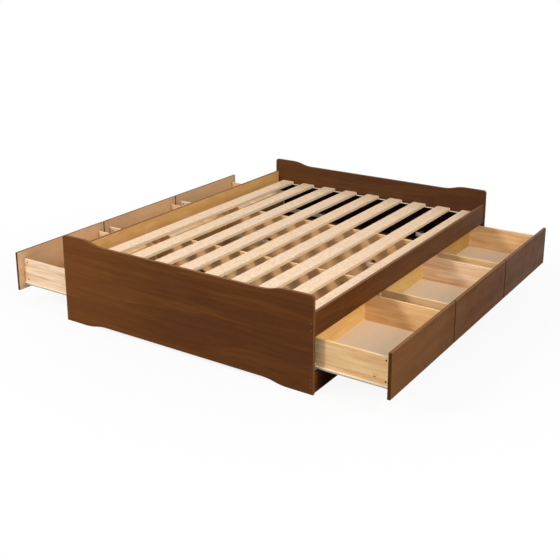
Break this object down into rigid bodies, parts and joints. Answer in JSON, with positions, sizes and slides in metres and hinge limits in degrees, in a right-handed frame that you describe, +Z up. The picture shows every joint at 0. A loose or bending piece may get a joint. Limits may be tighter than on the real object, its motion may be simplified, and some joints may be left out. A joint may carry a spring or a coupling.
{
  "type": "platform bed with storage drawers",
  "caption": "Low platform bed: dark board foot and head panels with dipped tops and arched bottoms, a lengthwise slat deck, and roller drawers with full overlay fronts along both sides",
  "frame": {"origin": "on the floor, midway between the two sides and the two ends, drawers pulled out", "axes": "+X to the right seen from the foot, +Y from the foot to the head, +Z up"},
  "size_m": [2.364, 2.096, 0.492],
  "materials": {
    "walnut_laminate": "satin dark walnut laminate",
    "slat_pine": "planed, unfinished",
    "raw_board": "unfinished",
    "batten_wood": "unfinished",
    "drawer_side_wood": "clear satin",
    "drawer_bottom_ply": "clear matt",
    "runner_enamel": "gloss enamel",
    "roller_nylon": "matt"
  },
  "bodies": {
    "frame": {"cabinet_runners": "runner_enamel", "end_boards": "raw_board", "foot_divider": "raw_board", "foot_panel": "walnut_laminate", "head_divider": "raw_board", "head_panel": "walnut_laminate", "left_base_board": "walnut_laminate", "left_side_rail": "walnut_laminate", "right_base_board": "walnut_laminate", "right_side_rail": "walnut_laminate", "runner_battens": "batten_wood", "slats": "slat_pine"},
    "right_foot_drawer": {"right_foot_drawer_back": "drawer_side_wood", "right_foot_drawer_bottom": "drawer_bottom_ply", "right_foot_drawer_foot_side": "drawer_side_wood", "right_foot_drawer_front": "walnut_laminate", "right_foot_drawer_head_side": "drawer_side_wood", "right_foot_drawer_runners": "runner_enamel"},
    "right_foot_drawer_wheels": {"right_foot_drawer_rear_rollers": "roller_nylon"},
    "right_foot_cabinet_wheels": {"right_foot_cabinet_rollers": "roller_nylon"},
    "right_middle_drawer": {"right_middle_drawer_back": "drawer_side_wood", "right_middle_drawer_bottom": "drawer_bottom_ply", "right_middle_drawer_foot_side": "drawer_side_wood", "right_middle_drawer_front": "walnut_laminate", "right_middle_drawer_head_side": "drawer_side_wood", "right_middle_drawer_runners": "runner_enamel"},
    "right_middle_drawer_wheels": {"right_middle_drawer_rear_rollers": "roller_nylon"},
    "right_middle_cabinet_wheels": {"right_middle_cabinet_rollers": "roller_nylon"},
    "right_head_drawer": {"right_head_drawer_back": "drawer_side_wood", "right_head_drawer_bottom": "drawer_bottom_ply", "right_head_drawer_foot_side": "drawer_side_wood", "right_head_drawer_front": "walnut_laminate", "right_head_drawer_head_side": "drawer_side_wood", "right_head_drawer_runners": "runner_enamel"},
    "right_head_drawer_wheels": {"right_head_drawer_rear_rollers": "roller_nylon"},
    "right_head_cabinet_wheels": {"right_head_cabinet_rollers": "roller_nylon"},
    "left_foot_drawer": {"left_foot_drawer_back": "drawer_side_wood", "left_foot_drawer_bottom": "drawer_bottom_ply", "left_foot_drawer_foot_side": "drawer_side_wood", "left_foot_drawer_front": "walnut_laminate", "left_foot_drawer_head_side": "drawer_side_wood", "left_foot_drawer_runners": "runner_enamel"},
    "left_foot_drawer_wheels": {"left_foot_drawer_rear_rollers": "roller_nylon"},
    "left_foot_cabinet_wheels": {"left_foot_cabinet_rollers": "roller_nylon"},
    "left_middle_drawer": {"left_middle_drawer_back": "drawer_side_wood", "left_middle_drawer_bottom": "drawer_bottom_ply", "left_middle_drawer_foot_side": "drawer_side_wood", "left_middle_drawer_front": "walnut_laminate", "left_middle_drawer_head_side": "drawer_side_wood", "left_middle_drawer_runners": "runner_enamel"},
    "left_middle_drawer_wheels": {"left_middle_drawer_rear_rollers": "roller_nylon"},
    "left_middle_cabinet_wheels": {"left_middle_cabinet_rollers": "roller_nylon"},
    "left_head_drawer": {"left_head_drawer_back": "drawer_side_wood", "left_head_drawer_bottom": "drawer_bottom_ply", "left_head_drawer_foot_side": "drawer_side_wood", "left_head_drawer_front": "walnut_laminate", "left_head_drawer_head_side": "drawer_side_wood", "left_head_drawer_runners": "runner_enamel"},
    "left_head_drawer_wheels": {"left_head_drawer_rear_rollers": "roller_nylon"},
    "left_head_cabinet_wheels": {"left_head_cabinet_rollers": "roller_nylon"}
  },
  "joints": [
    {"name": "right_foot_drawer_slide", "type": "slide", "parent": "frame", "child": "right_foot_drawer", "axis": [1, 0, 0], "range_m": [-0.374, 0.02]},
    {"name": "right_foot_drawer_wheels_turn", "type": "hinge", "parent": "right_foot_drawer", "child": "right_foot_drawer_wheels", "pos_m": [0.716, -0.69933, 0.133], "axis": [0, 1, 0], "range_deg": [-1835, 100]},
    {"name": "right_foot_cabinet_wheels_turn", "type": "hinge", "parent": "frame", "child": "right_foot_cabinet_wheels", "pos_m": [0.772, -0.69933, 0.122], "axis": [0, 1, 0], "range_deg": [-2525, 137]},
    {"name": "right_middle_drawer_slide", "type": "slide", "parent": "frame", "child": "right_middle_drawer", "axis": [1, 0, 0], "range_m": [-0.374, 0.02]},
    {"name": "right_middle_drawer_wheels_turn", "type": "hinge", "parent": "right_middle_drawer", "child": "right_middle_drawer_wheels", "pos_m": [0.716, 0, 0.133], "axis": [0, 1, 0], "range_deg": [-1835, 100]},
    {"name": "right_middle_cabinet_wheels_turn", "type": "hinge", "parent": "frame", "child": "right_middle_cabinet_wheels", "pos_m": [0.772, 0, 0.122], "axis": [0, 1, 0], "range_deg": [-2525, 137]},
    {"name": "right_head_drawer_slide", "type": "slide", "parent": "frame", "child": "right_head_drawer", "axis": [1, 0, 0], "range_m": [-0.374, 0.02]},
    {"name": "right_head_drawer_wheels_turn", "type": "hinge", "parent": "right_head_drawer", "child": "right_head_drawer_wheels", "pos_m": [0.716, 0.69933, 0.133], "axis": [0, 1, 0], "range_deg": [-1835, 100]},
    {"name": "right_head_cabinet_wheels_turn", "type": "hinge", "parent": "frame", "child": "right_head_cabinet_wheels", "pos_m": [0.772, 0.69933, 0.122], "axis": [0, 1, 0], "range_deg": [-2525, 137]},
    {"name": "left_foot_drawer_slide", "type": "slide", "parent": "frame", "child": "left_foot_drawer", "axis": [-1, 0, 0], "range_m": [-0.374, 0.02]},
    {"name": "left_foot_drawer_wheels_turn", "type": "hinge", "parent": "left_foot_drawer", "child": "left_foot_drawer_wheels", "pos_m": [-0.716, -0.69933, 0.133], "axis": [0, -1, 0], "range_deg": [-1835, 100]},
    {"name": "left_foot_cabinet_wheels_turn", "type": "hinge", "parent": "frame", "child": "left_foot_cabinet_wheels", "pos_m": [-0.772, -0.69933, 0.122], "axis": [0, -1, 0], "range_deg": [-2525, 137]},
    {"name": "left_middle_drawer_slide", "type": "slide", "parent": "frame", "child": "left_middle_drawer", "axis": [-1, 0, 0], "range_m": [-0.374, 0.02]},
    {"name": "left_middle_drawer_wheels_turn", "type": "hinge", "parent": "left_middle_drawer", "child": "left_middle_drawer_wheels", "pos_m": [-0.716, 0, 0.133], "axis": [0, -1, 0], "range_deg": [-1835, 100]},
    {"name": "left_middle_cabinet_wheels_turn", "type": "hinge", "parent": "frame", "child": "left_middle_cabinet_wheels", "pos_m": [-0.772, 0, 0.122], "axis": [0, -1, 0], "range_deg": [-2525, 137]},
    {"name": "left_head_drawer_slide", "type": "slide", "parent": "frame", "child": "left_head_drawer", "axis": [-1, 0, 0], "range_m": [-0.374, 0.02]},
    {"name": "left_head_drawer_wheels_turn", "type": "hinge", "parent": "left_head_drawer", "child": "left_head_drawer_wheels", "pos_m": [-0.716, 0.69933, 0.133], "axis": [0, -1, 0], "range_deg": [-1835, 100]},
    {"name": "left_head_cabinet_wheels_turn", "type": "hinge", "parent": "frame", "child": "left_head_cabinet_wheels", "pos_m": [-0.772, 0.69933, 0.122], "axis": [0, -1, 0], "range_deg": [-2525, 137]}
  ],
  "couplings": [
    {"joint": "right_foot_drawer_wheels_turn", "follows": "right_foot_drawer_slide", "rad_per_m": 85.47},
    {"joint": "right_foot_cabinet_wheels_turn", "follows": "right_foot_drawer_slide", "rad_per_m": 117.65},
    {"joint": "right_middle_drawer_wheels_turn", "follows": "right_middle_drawer_slide", "rad_per_m": 85.47},
    {"joint": "right_middle_cabinet_wheels_turn", "follows": "right_middle_drawer_slide", "rad_per_m": 117.65},
    {"joint": "right_head_drawer_wheels_turn", "follows": "right_head_drawer_slide", "rad_per_m": 85.47},
    {"joint": "right_head_cabinet_wheels_turn", "follows": "right_head_drawer_slide", "rad_per_m": 117.65},
    {"joint": "left_foot_drawer_wheels_turn", "follows": "left_foot_drawer_slide", "rad_per_m": 85.47},
    {"joint": "left_foot_cabinet_wheels_turn", "follows": "left_foot_drawer_slide", "rad_per_m": 117.65},
    {"joint": "left_middle_drawer_wheels_turn", "follows": "left_middle_drawer_slide", "rad_per_m": 85.47},
    {"joint": "left_middle_cabinet_wheels_turn", "follows": "left_middle_drawer_slide", "rad_per_m": 117.65},
    {"joint": "left_head_drawer_wheels_turn", "follows": "left_head_drawer_slide", "rad_per_m": 85.47},
    {"joint": "left_head_cabinet_wheels_turn", "follows": "left_head_drawer_slide", "rad_per_m": 117.65}
  ]
}
